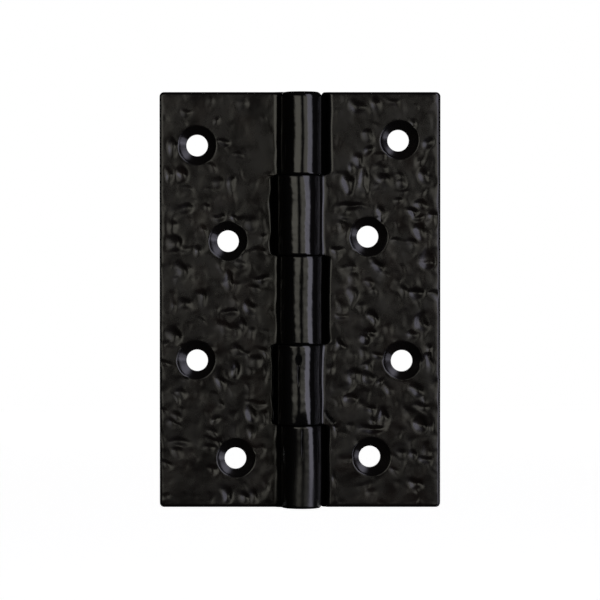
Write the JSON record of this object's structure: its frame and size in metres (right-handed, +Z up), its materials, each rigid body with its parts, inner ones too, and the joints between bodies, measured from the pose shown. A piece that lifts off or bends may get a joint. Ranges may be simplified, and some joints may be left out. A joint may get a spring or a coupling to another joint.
{
  "type": "butt hinge",
  "caption": "Cast iron butt hinge with a beaten face, countersunk screw holes and an interleaved knuckle barrel on a riveted pin.",
  "frame": {"origin": "on the pin's axis at half height, which is the middle of the open hinge", "axes": "+Z up along the pin, +X across the open leaves towards the right leaf, +Y out of the flat backs; the countersunk faces look along -Y"},
  "size_m": [0.069, 0.0104, 0.102],
  "materials": {
    "black_iron": "gloss black coating over a beaten casting",
    "black_pin": "gloss black coating over riveted steel"
  },
  "bodies": {
    "fixed_side": {"left_leaf": "black_iron", "hinge_pin": "black_pin"},
    "swinging_side": {"right_leaf": "black_iron"}
  },
  "joints": [
    {"name": "hinge_turn", "type": "hinge", "parent": "fixed_side", "child": "swinging_side", "pos_m": [0, 0, 0], "axis": [0, 0, -1], "range_deg": [-85, 180]}
  ]
}
